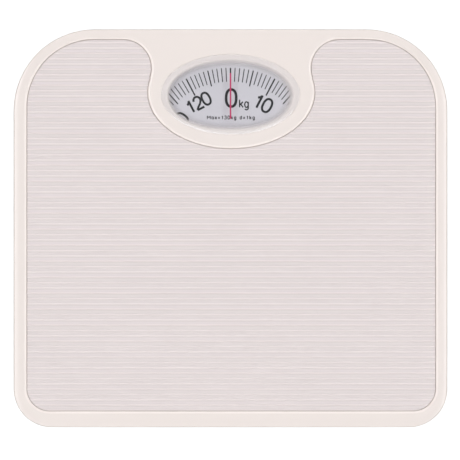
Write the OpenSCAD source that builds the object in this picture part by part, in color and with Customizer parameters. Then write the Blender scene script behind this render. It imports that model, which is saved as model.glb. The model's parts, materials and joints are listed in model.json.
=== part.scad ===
// Mechanical dial platform scale.
// A pressed steel platform stands on four levers, the levers pull a spring plate down,
// and a bell crank, a rack and a pinion turn the dial under the window.
// Units are mm. X is to the right, Y is to the rear (the dial end), Z is up, z = 0 is the floor.

/* [Platform] */
// Width of the platform, left to right
body_w = 285; // [240:1:340]
// Depth of the platform, front to rear
body_d = 261.4; // [220:0.2:320]
// Height over the floor
body_h = 52; // [50:1:60]
// Radius of the two rear corners in plan
rear_r = 53.6; // [30:0.2:60]
// Radius of the two front corners in plan
front_r = 25.5; // [20:0.5:40]
// Thickness of the pressed sheet
sheet = 1; // [0.8:0.1:1.2]
// Radius of the pressed top edge
edge_r = 3; // [2:0.5:5]
// Height of the skirt's lower edge over the floor
skirt_z = 30; // [26:1:34]
// How far the platform sinks at full load
travel = 0.7; // [0.5:0.05:1]

/* [Foot mat] */
// Width of the rim on the left and right of the mat
rim_side = 8.6; // [6:0.1:14]
// Width of the rim behind the mat
rim_rear = 7; // [5:0.1:12]
// Width of the rim in front of the mat
rim_front = 11; // [6:0.1:16]
// How far the mat lies off the middle line
mat_x = 0.5; // [-2:0.1:2]
// Gap all round the mat
mat_gap = 0.6; // [0.3:0.1:1]
// Pitch of the main ribs
rib_pitch = 3.485; // [2.5:0.005:5]
// How far the ribs are shifted to the rear
rib_shift = -0.365; // [-2:0.005:2]
// Depth of the pocket that the mat is glued into
pocket = 1.6; // [1:0.1:2]

/* [Window] */
// Half the width of the white bowl round the window
bowl_a = 54.5; // [48:0.1:60]
// Half the depth of the bowl
bowl_b = 36.7; // [30:0.1:42]
// Centre of the bowl
bowl_y = 89; // [80:0.5:96]
// Half the width of the lens
lens_a = 45.4; // [40:0.1:50]
// Half the depth of the lens
lens_b = 26.2; // [20:0.1:30]
// Centre of the lens
lens_y = 87.4; // [80:0.1:95]
// Width of the ledge under the lens at its sides
ledge_side = 4.2; // [2:0.1:5]
// Width of the ledge under the lens, front and rear
ledge_end = 3.1; // [2:0.1:5]

/* [Dial] */
// Distance of the dial's axis behind the middle
dial_y = 42.8; // [36:0.1:48]
// Radius of the dial disc
dial_r = 69; // [60:0.5:69.5]
// Height of the disc's underside
dial_z = 44.6; // [43:0.1:45]
// Module of the pinion and rack
gear_m = 0.4; // [0.3:0.05:0.6]
// Teeth of the pinion, one turn is full load
gear_n = 12; // [12:1:16]

/* [Levers] */
// Distance of the fulcrums from the middle line
ful_x = 112; // [100:1:116]
// Front fulcrums, distance in front of the middle
ful_front = 98; // [90:1:104]
// Rear fulcrums, distance behind the middle
ful_rear = 90; // [80:1:94]
// Distance of the long levers' noses from the middle line
nose_x = 20; // [16:1:24]
// Distance of the main spring behind the middle
spring_y = 115.5; // [110:0.5:116]
// Load arm of the long levers
load_arm = 24; // [18:0.5:34]
// Point on the long lever that carries the short one, from its fulcrum
meet_d = 120; // [100:1:140]
// Half the width of a lever
lever_w = 5; // [4:0.5:6]
// Height of the lever pins
pin_z = 21; // [20:0.5:23]
// Radius of the lever pins
pin_r = 1.5; // [1.2:0.1:2]

/* [Spring and zero wheel] */
// Mean radius of the main spring
coil_r = 7; // [6:0.5:8]
// Radius of its wire
wire_r = 1.05; // [0.8:0.05:1.2]
// Radius of the zero wheel
wheel_r = 14; // [12:0.5:14]

/* [Feet] */
// Radius of a rubber foot
foot_r = 11; // [9:0.5:12]
// Height of a rubber foot
foot_h = 6; // [5:0.5:8]

/* [Hidden] */
$fn = 64;
hw = body_w / 2;
hd = body_d / 2;
base_in = 5;                       // the base's outline lies this far inside the platform's
base_z = foot_h;
floor_z = base_z + sheet;
wall_z = 37;                       // top of the base's wall
under_z = body_h - pocket - sheet; // underside of the platform's pocket
run_c = 0.05;                      // running clearance
nose_len = sqrt(pow(ful_x - nose_x, 2) + pow(spring_y + ful_front, 2));
long_a = atan2(spring_y + ful_front, ful_x - nose_x);
meet = [-ful_x + meet_d * cos(long_a), -ful_front + meet_d * sin(long_a)];
short_len = sqrt(pow(meet[0] + ful_x, 2) + pow(ful_rear - meet[1], 2));
short_a = atan2(meet[1] - ful_rear, meet[0] + ful_x);
short_arm = load_arm * short_len / meet_d;
lever_lo = pin_z - 4;
lever_hi = pin_z + 5;
plate_z = 15;
plate_t = 1.5;
nose_drop = nose_len * travel / load_arm;
// crank: the finger moves with the plate and the arm with the rack
rack_run = PI * gear_m * gear_n;
crank_y = 93.5;
crank_z = 14.6;
crank_h = 22.8;
swing = atan(rack_run / 2 / crank_h);
finger = nose_drop / 2 / sin(swing);
rack_z = 36.6;
rack_t = 1.5;
rack_pin_z = crank_z + crank_h;
pitch_r = gear_m * gear_n / 2;
shaft_r = 1.2;
stud_r = 2.5;
foot_xy = [[hw - 20.5, -hd + 20.7], [hw - 44.5, hd - 26.7]];
hook_xy = [[123, -40], [123, 42]];
lens_x = 0.1;
white = [0.94, 0.92, 0.91];
steel = [0.72, 0.73, 0.75];
brass = [0.8, 0.66, 0.35];
dark = [0.18, 0.18, 0.19];
grey = [0.87, 0.84, 0.84];

// ---------- outlines ----------
function arc(cx, cy, r, a0, a1, n) =
    [for (i = [0:n]) [cx + r * cos(a0 + (a1 - a0) * i / n), cy + r * sin(a0 + (a1 - a0) * i / n)]];
function oval(cy, a, b, t0, t1, n) =
    [for (i = [0:n]) [a * cos(t0 + (t1 - t0) * i / n), cy + b * sin(t0 + (t1 - t0) * i / n)]];
function flip(p) = [for (i = [len(p) - 1:-1:0]) [-p[i][0], p[i][1]]];
function unit(v) = v / norm(v);

// the mat's outline, moved outwards by g: two rounded front corners, two rear ones,
// and between them the lobes and the bowl that leave the dial's tongue free
function mat_half(g) =
    let (x = hw - rim_side + g, y0 = -hd + rim_front - g, y1 = hd - rim_rear + g)
    let (rf = 15 + g, rr = 44.5 + g, lobe = 18.95 + g, lx = 71, ly = 104.75)
    concat(
        oval(bowl_y, bowl_a - g, bowl_b - g, -90, 14.5, 20),
        arc(lx, ly, lobe, 200, 90, 12),
        arc(x - rr, y1 - rr, rr, 90, 0, 12),
        arc(x - rf, y0 + rf, rf, 0, -90, 8));
function mat_shape(g) = let (h = mat_half(g)) concat(h, flip(h));
module mat_2d(g) {
    translate([mat_x, 0])
        polygon(mat_shape(g));
}

module oval_2d(cy, a, b) {
    polygon(oval(cy, a, b, 0, 355, 71));
}

// body outline, moved inwards by g, as true arcs
module body_2d(g) {
    for (s = [-1, 1]) {
        translate([s * (hw - rear_r), hd - rear_r])
            circle(rear_r - g);
        translate([s * (hw - front_r), -hd + front_r])
            circle(front_r - g);
    }
    translate([-hw + rear_r, -hd + g])
        square([2 * (hw - rear_r), body_d - 2 * g]);
    translate([-hw + g, -hd + front_r])
        square([body_w - 2 * g, body_d - rear_r - front_r]);
    translate([-hw + front_r, -hd + g])
        square([2 * (hw - front_r), body_d - rear_r]);
}

// sweeps a profile round the body: profile x is the distance inwards from the outline,
// g moves the outline inwards
module sweep(g) {
    ring = [[hw - rear_r, hd - rear_r, rear_r, 0], [-hw + rear_r, hd - rear_r, rear_r, 90],
        [-hw + front_r, -hd + front_r, front_r, 180], [hw - front_r, -hd + front_r, front_r, 270]];
    for (c = ring)
        translate([c[0], c[1], 0])
            rotate([0, 0, c[3]])
                rotate_extrude(angle = 90)
                    translate([c[2] - g, 0])
                        mirror([1, 0])
                            children();
    side = body_d - rear_r - front_r;
    for (s = [0, 1])
        mirror([s, 0, 0])
            translate([hw - g, hd - rear_r, 0])
                rotate([90, 0, 0])
                    linear_extrude(side)
                        mirror([1, 0])
                            children();
    translate([-hw + rear_r, hd - g, 0])
        rotate([90, 0, 90])
            linear_extrude(2 * (hw - rear_r))
                mirror([1, 0])
                    children();
    translate([hw - front_r, -hd + g, 0])
        rotate([90, 0, -90])
            linear_extrude(2 * (hw - front_r))
                mirror([1, 0])
                    children();
}

// ---------- base ----------
module base_profile() {
    polygon(concat(
        [[0, wall_z]],
        arc(edge_r, base_z + edge_r, edge_r, 180, 270, 6),
        [[8, base_z], [8, floor_z]],
        arc(edge_r, base_z + edge_r, edge_r - sheet, 270, 180, 6),
        [[sheet, wall_z]]));
}

module base_tray() {
    color(white)
        difference() {
            union() {
                sweep(base_in)
                    base_profile();
                translate([0, 0, base_z])
                    linear_extrude(sheet)
                        body_2d(base_in + 7);
                for (p = hook_xy)
                    for (s = [-1, 1])
                        translate([s * p[0] - 3, p[1] - 0.5, base_z + 0.5])
                            cube([6, 1, 6.5]);
            }
            for (p = foot_xy)
                for (s = [-1, 1])
                    translate([s * p[0], p[1], 0])
                        cylinder(h = 20, r = 3);
            for (p = hook_xy)
                for (s = [-1, 1])
                    translate([s * p[0], p[1] - 2, 11])
                        rotate([-90, 0, 0])
                            cylinder(h = 4, r = 1.1);
        }
}

module foot(s, p) {
    color(dark)
        translate([s * p[0], p[1], 0]) {
            rotate_extrude()
                polygon([[0, 0], [foot_r - 1.5, 0], [foot_r - 0.5, 0.6], [foot_r, 1.8],
                    [foot_r, foot_h], [3, foot_h], [3, foot_h + sheet], [4.2, foot_h + sheet],
                    [3.4, foot_h + 2.6], [0, foot_h + 2.6]]);
        }
}

module foot_front_left() {
    foot(-1, foot_xy[0]);
}
module foot_front_right() {
    foot(1, foot_xy[0]);
}
module foot_rear_left() {
    foot(-1, foot_xy[1]);
}
module foot_rear_right() {
    foot(1, foot_xy[1]);
}

// a U bracket with a notch in each ear, in the lever's own frame
module fulcrum_stand() {
    color(steel)
        difference() {
            union() {
                translate([-8, -7.25, floor_z])
                    cube([16, 14.5, 1.5]);
                for (s = [-1, 1])
                    translate([-5, s * 6.5 - 0.75, floor_z])
                        cube([10, 1.5, pin_z + 2.5 - floor_z]);
            }
            translate([0, 10, pin_z])
                rotate([90, 0, 0])
                    cylinder(h = 20, r = pin_r + run_c);
            translate([-pin_r - run_c, -10, pin_z])
                cube([2 * (pin_r + run_c), 20, 5]);
            for (s = [-1, 1])
                translate([s * 5, 0, 0])
                    cylinder(h = 20, r = 1.5);
        }
}

module stand_rivets() {
    color(steel)
        for (s = [-1, 1])
            translate([s * 5, 0, floor_z]) {
                cylinder(h = 1.5, r = 1.5);
                translate([0, 0, 1.5])
                    cylinder(h = 0.8, r1 = 2.6, r2 = 1.8);
            }
}

module at_front(s) {
    mirror([s > 0 ? 1 : 0, 0, 0])
        translate([-ful_x, -ful_front, 0])
            rotate([0, 0, long_a])
                children();
}
module at_rear(s) {
    mirror([s > 0 ? 1 : 0, 0, 0])
        translate([-ful_x, ful_rear, 0])
            rotate([0, 0, short_a])
                children();
}

module fulcrum_stand_front_left() {
    at_front(-1)
        fulcrum_stand();
}
module fulcrum_stand_front_right() {
    at_front(1)
        fulcrum_stand();
}
module fulcrum_stand_rear_left() {
    at_rear(-1)
        fulcrum_stand();
}
module fulcrum_stand_rear_right() {
    at_rear(1)
        fulcrum_stand();
}
module fulcrum_stand_rivets() {
    for (s = [-1, 1]) {
        at_front(s)
            stand_rivets();
        at_rear(s)
            stand_rivets();
    }
}

module pan_screw(r, under) {
    color(steel)
        difference() {
            union() {
                cylinder(h = 1.8, r = 2 * r);
                translate([0, 0, -under])
                    cylinder(h = under, r = r);
            }
            translate([-r * 1.4, -0.35, 1])
                cube([r * 2.8, 0.7, 2]);
            translate([-0.35, -r * 1.4, 1])
                cube([0.7, r * 2.8, 2]);
        }
}

module spring_bridge() {
    color(steel)
        difference() {
            union() {
                translate([-36, 105, 38])
                    cube([72, 17, 2]);
                for (s = [-1, 1]) {
                    translate([s * 35 - 1, 105, floor_z])
                        cube([2, 17, 33]);
                    translate([s * 40.5 - 5.5, 105, floor_z])
                        cube([11, 17, 2]);
                }
            }
            translate([0, spring_y, 30])
                cylinder(h = 20, r = stud_r + 0.08);
            for (s = [-1, 1])
                for (y = [109, 118])
                    translate([s * 41.5, y, 0])
                        cylinder(h = 20, r = 1.5);
        }
}

module spring_bridge_screws() {
    for (s = [-1, 1])
        for (y = [109, 118])
            translate([s * 41.5, y, floor_z + 2])
                pan_screw(1.5, 2);
}

module dial_bridge() {
    color(steel)
        difference() {
            union() {
                translate([-24, 34, 33])
                    cube([48, 18, 1.5]);
                translate([2, 50, 33])
                    cube([12, 27, 1.5]);
                for (s = [-1, 1]) {
                    translate([s * 23.25 - 0.75, 36, floor_z])
                        cube([1.5, 14, 27]);
                    translate([s * 28.5 - 5.5, 36, floor_z])
                        cube([11, 14, 1.5]);
                }
            }
            translate([0, dial_y, 30])
                cylinder(h = 10, r = 2.5);
            for (s = [-1, 1])
                translate([s * 29.5, 43, 0])
                    cylinder(h = 20, r = 1.5);
        }
}

module dial_bridge_screws() {
    for (s = [-1, 1])
        translate([s * 29.5, 43, floor_z + 1.5])
            pan_screw(1.5, 1.5);
}

module dial_bearing_bush() {
    color(brass)
        translate([0, dial_y, 0])
            difference() {
                union() {
                    translate([0, 0, 32.2])
                        cylinder(h = 3, r = 2.5);
                    translate([0, 0, 34.5])
                        cylinder(h = 1.5, r = 3);
                }
                translate([0, 0, 30])
                    cylinder(h = 10, r = shaft_r + run_c);
            }
}

module crank_bracket() {
    color(steel)
        difference() {
            union() {
                translate([2.2, 87, floor_z])
                    cube([13.8, 13, 1.2]);
                for (x = [2.2, 6.1])
                    translate([x, 89.5, floor_z])
                        cube([1.2, 8, 11.4]);
            }
            translate([0, crank_y, crank_z])
                rotate([0, 90, 0])
                    cylinder(h = 10, r = pin_r);
            for (y = [89.5, 97.5])
                translate([12, y, 0])
                    cylinder(h = 20, r = 1.2);
        }
}

module crank_bracket_rivets() {
    color(steel)
        for (y = [89.5, 97.5])
            translate([12, y, floor_z]) {
                cylinder(h = 1.2, r = 1.2);
                translate([0, 0, 1.2])
                    cylinder(h = 0.8, r1 = 2.2, r2 = 1.6);
            }
}

module crank_pivot_pin() {
    color(steel)
        translate([1.4, crank_y, crank_z])
            rotate([0, 90, 0]) {
                cylinder(h = 6.6, r = pin_r);
                cylinder(h = 0.8, r = 2.4);
            }
}

module rack_guides() {
    color(brass) {
        translate([3.6, 37, 34.5])
            cube([5.4, 11.5, 2]);
        translate([6.5, 37, 34.5])
            cube([2.5, 11.5, 4.8]);
        translate([3.6, 72, 34.5])
            cube([8, 5, 2]);
        translate([3.6, 72, 34.5])
            cube([2.4, 5, 4.8]);
        translate([9.2, 72, 34.5])
            cube([2.4, 5, 4.8]);
    }
}

// ---------- dial ----------
module dial_disc() {
    color([0.8, 0.8, 0.83])
        translate([0, dial_y, dial_z])
            difference() {
                cylinder(h = 0.6, r = dial_r);
                translate([0, 0, -1])
                    cylinder(h = 3, r = 3);
            }
}

module dial_hub() {
    color(grey)
        translate([0, dial_y, 0])
            difference() {
                union() {
                    translate([0, 0, 38.9])
                        cylinder(h = dial_z - 39, r = 5);
                    translate([0, 0, dial_z - 0.8])
                        cylinder(h = 0.8, r = 9);
                    translate([0, 0, dial_z - 0.8])
                        cylinder(h = 1.8, r = 3);
                }
                translate([0, 0, 30])
                    cylinder(h = 13.6, r = shaft_r);
            }
}

// one flank of an involute tooth: [radius, half angle]
base_r = pitch_r * cos(30);
half_p = 90 / gear_n - 0.03 / pitch_r * 180 / PI;
function inv(r) = let (a = acos(min(1, base_r / r))) tan(a) * 180 / PI - a;
function flank(r) = half_p + inv(pitch_r) - inv(r);
tip_r = pitch_r + 0.3;
root_r = pitch_r - 0.5;
function tooth(a) = concat(
    [[root_r, a - flank(base_r) - 1]],
    [for (i = [0:4]) let (r = base_r + (tip_r - base_r) * i / 4) [r, a - flank(r)]],
    [for (i = [4:-1:0]) let (r = base_r + (tip_r - base_r) * i / 4) [r, a + flank(r)]],
    [[root_r, a + flank(base_r) + 1]]);

module dial_pinion() {
    pts = [for (k = [0:gear_n - 1]) for (p = tooth((k + 0.5) * 360 / gear_n))
        [p[0] * cos(p[1]), p[0] * sin(p[1])]];
    color(brass)
        translate([0, dial_y, 36.2])
            difference() {
                linear_extrude(2.7)
                    polygon(pts);
                translate([0, 0, -1])
                    cylinder(h = 5, r = shaft_r);
            }
}

module dial_shaft() {
    color(steel)
        translate([0, dial_y, 0])
            difference() {
                translate([0, 0, 30])
                    cylinder(h = 13.6, r = shaft_r);
                translate([0, 0, 31.2])
                    difference() {
                        cylinder(h = 0.6, r = 2);
                        cylinder(h = 0.6, r = 0.8);
                    }
            }
}

module shaft_clip() {
    color(dark)
        translate([0, dial_y, 31.2])
            difference() {
                cylinder(h = 0.6, r = 2.8);
                translate([0, 0, -1])
                    cylinder(h = 3, r = 0.8);
                translate([-0.8, -4, -1])
                    cube([1.6, 4, 3]);
            }
}

// ---------- platform ----------
module skirt_profile() {
    polygon(concat(
        [[0, skirt_z]],
        arc(edge_r, body_h - edge_r, edge_r, 180, 90, 8),
        [[6, body_h], [6, body_h - sheet]],
        arc(edge_r, body_h - edge_r, edge_r - sheet, 90, 180, 8),
        [[sheet, skirt_z]]));
}

module platform_cover() {
    color(white)
        difference() {
            union() {
                sweep(0)
                    skirt_profile();
                // rim, tongue and bowl
                translate([0, 0, body_h - sheet])
                    linear_extrude(sheet)
                        difference() {
                            body_2d(5);
                            mat_2d(0);
                            oval_2d(lens_y, lens_a + lens_x, lens_b + lens_x);
                        }
                // wall and floor of the mat's pocket
                translate([0, 0, under_z])
                    linear_extrude(pocket + sheet)
                        difference() {
                            mat_2d(sheet);
                            mat_2d(0);
                        }
                translate([0, 0, under_z])
                    linear_extrude(sheet)
                        mat_2d(0.5);
                // seat of the lens
                translate([0, 0, body_h - 3])
                    linear_extrude(3)
                        difference() {
                            oval_2d(lens_y, lens_a + lens_x + sheet, lens_b + lens_x + sheet);
                            oval_2d(lens_y, lens_a + lens_x, lens_b + lens_x);
                        }
                translate([0, 0, body_h - 3])
                    linear_extrude(sheet)
                        difference() {
                            oval_2d(lens_y, lens_a + 0.5, lens_b + 0.5);
                            oval_2d(lens_y, lens_a - ledge_side, lens_b - ledge_end);
                        }
            }
            // the notch in the rear skirt for the zero wheel
            translate([-20, hd - 3, 0])
                cube([40, 10, body_h - 5.5]);
        }
}

module foot_mat() {
    top = body_h - 0.7;
    n = floor(hd / rib_pitch);
    color(grey) {
        translate([0, 0, body_h - pocket])
            linear_extrude(pocket - 0.7)
                mat_2d(-mat_gap);
        translate([0, 0, top])
            linear_extrude(0.5)
                intersection() {
                    mat_2d(-mat_gap - 0.4);
                    for (k = [-n:n])
                        translate([-hw, k * rib_pitch + rib_shift - 0.55])
                            square([body_w, 1.1]);
                }
    }
}

module window_lens() {
    color([0.85, 0.92, 0.95, 0.35]) {
        translate([0, 0, body_h - 2])
            linear_extrude(1.2)
                oval_2d(lens_y, lens_a, lens_b);
        translate([0, 0, body_h - 1])
            linear_extrude(0.7)
                oval_2d(lens_y, lens_a - 3.2, lens_b - 3.2);
    }
}

module index_line() {
    color([0.75, 0.12, 0.28])
        translate([-0.5, 71.7, body_h - 2.15])
            cube([1, 30, 0.15]);
}

// ears that stand on a lever's load pin, in the lever's own frame
module platform_post(arm) {
    color(steel)
        translate([arm, 0, 0])
            difference() {
                union() {
                    translate([-7, -7.25, under_z - 1.5])
                        cube([14, 14.5, 1.5]);
                    for (s = [-1, 1])
                        translate([-4, s * 6.5 - 0.75, pin_z - 1.2])
                            cube([8, 1.5, under_z - pin_z + 1.2]);
                }
                translate([0, 10, pin_z])
                    rotate([90, 0, 0])
                        cylinder(h = 20, r = pin_r + run_c);
                translate([-pin_r - run_c, -10, pin_z - 5])
                    cube([2 * (pin_r + run_c), 20, 5]);
            }
}
module platform_post_front_left() {
    at_front(-1)
        platform_post(load_arm);
}
module platform_post_front_right() {
    at_front(1)
        platform_post(load_arm);
}
module platform_post_rear_left() {
    at_rear(-1)
        platform_post(short_arm);
}
module platform_post_rear_right() {
    at_rear(1)
        platform_post(short_arm);
}

module platform_spring_hooks() {
    color(steel)
        for (p = hook_xy)
            for (s = [-1, 1])
                difference() {
                    union() {
                        translate([s * p[0] - 3, p[1] - 0.5, 43])
                            cube([6, 1, under_z - 43]);
                        translate([s * p[0] - 3, p[1] - 0.5, under_z - 1])
                            cube([6, 6, 1]);
                    }
                    translate([s * p[0], p[1] - 2, 45.4])
                        rotate([-90, 0, 0])
                            cylinder(h = 4, r = 1.1);
                }
}

// ---------- levers ----------
module channel(x0, x1) {
    translate([x0, -lever_w, lever_hi - 1.5])
        cube([x1 - x0, 2 * lever_w, 1.5]);
    for (s = [-1, 1])
        translate([x0, s * (lever_w - 0.75) - 0.75, lever_lo])
            cube([x1 - x0, 1.5, lever_hi - lever_lo]);
}

module cross_pin(x, z, r, h) {
    translate([x, h, z])
        rotate([90, 0, 0])
            cylinder(h = 2 * h, r = r);
}

module long_lever() {
    color(steel)
        difference() {
            channel(-5, nose_len + 3);
            cross_pin(0, pin_z, pin_r, 20);
            cross_pin(load_arm, pin_z, pin_r, 20);
            cross_pin(nose_len, plate_z + plate_t + run_c + 2, 2, 20);
        }
}
module long_pins() {
    color(steel) {
        cross_pin(0, pin_z, pin_r, 8.5);
        cross_pin(load_arm, pin_z, pin_r, 8.5);
        cross_pin(nose_len, plate_z + plate_t + run_c + 2, 2, lever_w);
    }
}
module short_lever() {
    color(steel)
        difference() {
            union() {
                channel(-5, short_len - 12);
                translate([short_len - 24, -4, lever_hi])
                    cube([12, 8, 2.1]);
                translate([short_len - 13, -4, lever_hi + 0.6])
                    cube([17, 8, 1.5]);
            }
            cross_pin(0, pin_z, pin_r, 20);
            cross_pin(short_arm, pin_z, pin_r, 20);
            translate([short_len, 0, lever_hi])
                cylinder(h = 5, r = 1);
        }
}
module short_pins() {
    color(steel) {
        cross_pin(0, pin_z, pin_r, 8.5);
        cross_pin(short_arm, pin_z, pin_r, 8.5);
        // the nose: a rivet with a round underside that rides on the long lever
        difference() {
            union() {
                translate([short_len, 0, lever_hi + run_c + 2])
                    sphere(r = 2);
                translate([short_len, 0, lever_hi + 0.6])
                    cylinder(h = 1.6, r = 1);
            }
            translate([short_len - 5, -5, lever_hi + 0.6])
                difference() {
                    cube([10, 10, 5]);
                    translate([5, 5, -1])
                        cylinder(h = 9, r = 1);
                }
        }
        translate([short_len, 0, lever_hi + 2.1])
            cylinder(h = 0.7, r1 = 1.8, r2 = 1.2);
    }
}
module long_lever_left() {
    at_front(-1)
        long_lever();
}
module long_lever_left_pins() {
    at_front(-1)
        long_pins();
}
module long_lever_right() {
    at_front(1)
        long_lever();
}
module long_lever_right_pins() {
    at_front(1)
        long_pins();
}
module short_lever_left() {
    at_rear(-1)
        short_lever();
}
module short_lever_left_pins() {
    at_rear(-1)
        short_pins();
}
module short_lever_right() {
    at_rear(1)
        short_lever();
}
module short_lever_right_pins() {
    at_rear(1)
        short_pins();
}

// ---------- spring plate ----------
module spring_plate() {
    fy = crank_y + finger * cos(swing / 2);
    fz = crank_z + nose_drop / 2;
    color(steel)
        difference() {
            union() {
                translate([-28, 107.5, plate_z])
                    cube([56, 16, plate_t]);
                translate([6.2, 100.2, plate_z])
                    cube([1.5, 8.3, 6]);
            }
            translate([0, spring_y, 0])
                cylinder(h = 30, r = 2);
            for (y = [fy - 0.4, fy + 0.4])
                translate([0, y, fz])
                    rotate([0, 90, 0])
                        cylinder(h = 12, r = 1.1);
            translate([5, fy - 0.4, fz - 1.1])
                cube([5, 0.8, 2.2]);
        }
}

module lower_spring_seat() {
    color(grey)
        translate([0, spring_y, plate_z]) {
            translate([0, 0, -0.8])
                cylinder(h = 0.8, r = 3);
            cylinder(h = 3, r = 2);
            translate([0, 0, plate_t])
                cylinder(h = 1.5, r = 8.5);
            translate([0, 0, plate_t])
                cylinder(h = 5.5, r = coil_r - wire_r - 0.1);
        }
}

// ---------- crank and rack ----------
module crank() {
    color(steel)
        translate([4, crank_y, crank_z])
            rotate([swing, 0, 0])
                rotate([90, 0, 90])
                    difference() {
                        union() {
                            linear_extrude(1.5) {
                                circle(4);
                                translate([-2.6, 0])
                                    square([5.2, 23.9]);
                                translate([0, 23.9])
                                    circle(2.6);
                                translate([0, -2.2])
                                    square([finger, 4.4]);
                                translate([finger, 0])
                                    circle(2.2);
                            }
                            translate([0, 0, -0.5])
                                cylinder(h = 2.5, r = 3);
                        }
                        translate([0, 0, -1])
                            cylinder(h = 5, r = pin_r + run_c);
                        translate([finger, 0, -1])
                            cylinder(h = 5, r = 1);
                        for (y = [crank_h - 0.05, crank_h / cos(swing) + 0.05])
                            translate([0, y, -1])
                                cylinder(h = 5, r = 1.15);
                        translate([-1.15, crank_h - 0.05, -1])
                            cube([2.3, crank_h / cos(swing) - crank_h + 0.1, 5]);
                    }
}

module crank_finger_pin() {
    color(steel)
        translate([4, crank_y, crank_z])
            rotate([swing, 0, 0])
                translate([0, finger, 0])
                    rotate([0, 90, 0])
                        cylinder(h = 4.4, r = 1);
}

module rack() {
    p = PI * gear_m;
    tan_a = tan(30);
    half = p / 4 - 0.03;
    top = 0.3;
    root = 0.45;
    pts = concat(
        [[6.4, 23], [pitch_r + root, 23]],
        [for (k = [-15:3]) for (c = [[-half - root * tan_a, root], [-half + top * tan_a, -top],
            [half - top * tan_a, -top], [half + root * tan_a, root]])
            [pitch_r + c[1], dial_y + k * p + c[0]]],
        [[pitch_r + root, 56], [6.4, 56]]);
    color(brass) {
        difference() {
            union() {
                translate([0, 0, rack_z])
                    linear_extrude(rack_t)
                        polygon(pts);
                translate([4, 50, rack_z])
                    cube([5, 6, rack_t]);
                translate([6.2, 50, rack_z])
                    cube([2.8, crank_y - rack_run / 2 + 3 - 50, rack_t]);
                translate([6.2, crank_y - rack_run / 2 - 3, rack_z])
                    cube([1.5, 6, 3.2]);
            }
            translate([0, crank_y - rack_run / 2, rack_pin_z])
                rotate([0, 90, 0])
                    cylinder(h = 12, r = 1);
        }
    }
}

module rack_pin() {
    color(steel)
        translate([3.6, crank_y - rack_run / 2, rack_pin_z])
            rotate([0, 90, 0])
                cylinder(h = 5.8, r = 1);
}

// ---------- zero wheel and hanger ----------
module zero_wheel() {
    n = 60;
    color(dark)
        translate([0, spring_y, 40 + run_c])
            difference() {
                union() {
                    linear_extrude(3.2)
                        polygon([for (i = [0:2 * n - 1]) let (r = wheel_r - 0.5 * (i % 2))
                            [r * cos(180 * i / n), r * sin(180 * i / n)]]);
                    cylinder(h = 3.5, r = 5);
                }
                translate([0, 0, -1])
                    cylinder(h = 6, r = stud_r + run_c);
                translate([0, 0, 2])
                    difference() {
                        cylinder(h = 3, r = 12);
                        cylinder(h = 3, r = 5);
                    }
            }
}

module spring_hanger() {
    color(steel)
        translate([0, spring_y, 0]) {
            translate([0, 0, 31])
                cylinder(h = 14.5, r = stud_r);
            translate([0, 0, 45.5])
                cylinder(h = 0.6, r1 = stud_r, r2 = stud_r - 0.6);
        }
}

module upper_spring_seat() {
    color(grey)
        translate([0, spring_y, 0])
            difference() {
                union() {
                    translate([0, 0, 34.5])
                        cylinder(h = 1.5, r = 8.5);
                    translate([0, 0, 31])
                        cylinder(h = 4, r = coil_r - wire_r - 0.1);
                }
                translate([0, 0, 30])
                    cylinder(h = 10, r = stud_r);
            }
}

// ---------- springs ----------
function carry(ts, n, i) = i >= len(ts) ? [] :
    let (m = unit(n - (n * ts[i]) * ts[i])) concat([m], carry(ts, m, i + 1));
function along(path) = [for (i = [0:len(path) - 1])
    unit(path[min(i + 1, len(path) - 1)] - path[max(i - 1, 0)])];
function tube_points(path, r, k) =
    let (ts = along(path), ns = carry(ts, [0.3, 0.2, 1], 0))
    [for (i = [0:len(path) - 1]) for (j = [0:k - 1])
        path[i] + r * cos(360 * j / k) * ns[i] + r * sin(360 * j / k) * cross(ts[i], ns[i])];

module wire(path, r, k) {
    n = len(path);
    quads = [for (i = [0:n - 2]) for (j = [0:k - 1]) let (a = i * k + j, b = i * k + (j + 1) % k)
        for (t = [[a, a + k, b], [b, a + k, b + k]]) t];
    caps = [[for (j = [0:k - 1]) j], [for (j = [k - 1:-1:0]) (n - 1) * k + j]];
    polyhedron(points = tube_points(path, r, k), faces = concat(quads, caps), convexity = 10);
}

function coil(r, z0, z1, turns, a0, n) = [for (i = [0:n]) let (a = a0 + 360 * turns * i / n)
    [r * cos(a), r * sin(a), z0 + (z1 - z0) * i / n]];

module main_spring() {
    lo = plate_z + plate_t + 1.5 + wire_r;
    hi = 34.5 - wire_r;
    color([0.45, 0.46, 0.48])
        translate([0, spring_y, 0])
            wire(coil(coil_r, lo + 0.05, hi - 0.05, 6.4, 0, 134), wire_r, 8);
}

// a small tension spring with a loop at each end
module retaining_spring(s, p) {
    r = 2.4;
    w = 0.4;
    lo = 16.5;
    hi = 39.9;
    bottom = [for (i = [0:7]) let (a = -60 + 30 * i) [0, r * sin(a), 13.3 - r * cos(a)]];
    top = [for (i = [0:7]) let (a = 30 + 30 * i) [0, r * sin(a), 43.1 - r * cos(a)]];
    color(steel)
        translate([s * p[0], p[1], 0])
            wire(concat(bottom, coil(r, lo, hi, 16, 90, 192), top), w, 5);
}
module retaining_spring_front_left() {
    retaining_spring(-1, hook_xy[0]);
}
module retaining_spring_front_right() {
    retaining_spring(1, hook_xy[0]);
}
module retaining_spring_rear_left() {
    retaining_spring(-1, hook_xy[1]);
}
module retaining_spring_rear_right() {
    retaining_spring(1, hook_xy[1]);
}

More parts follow.
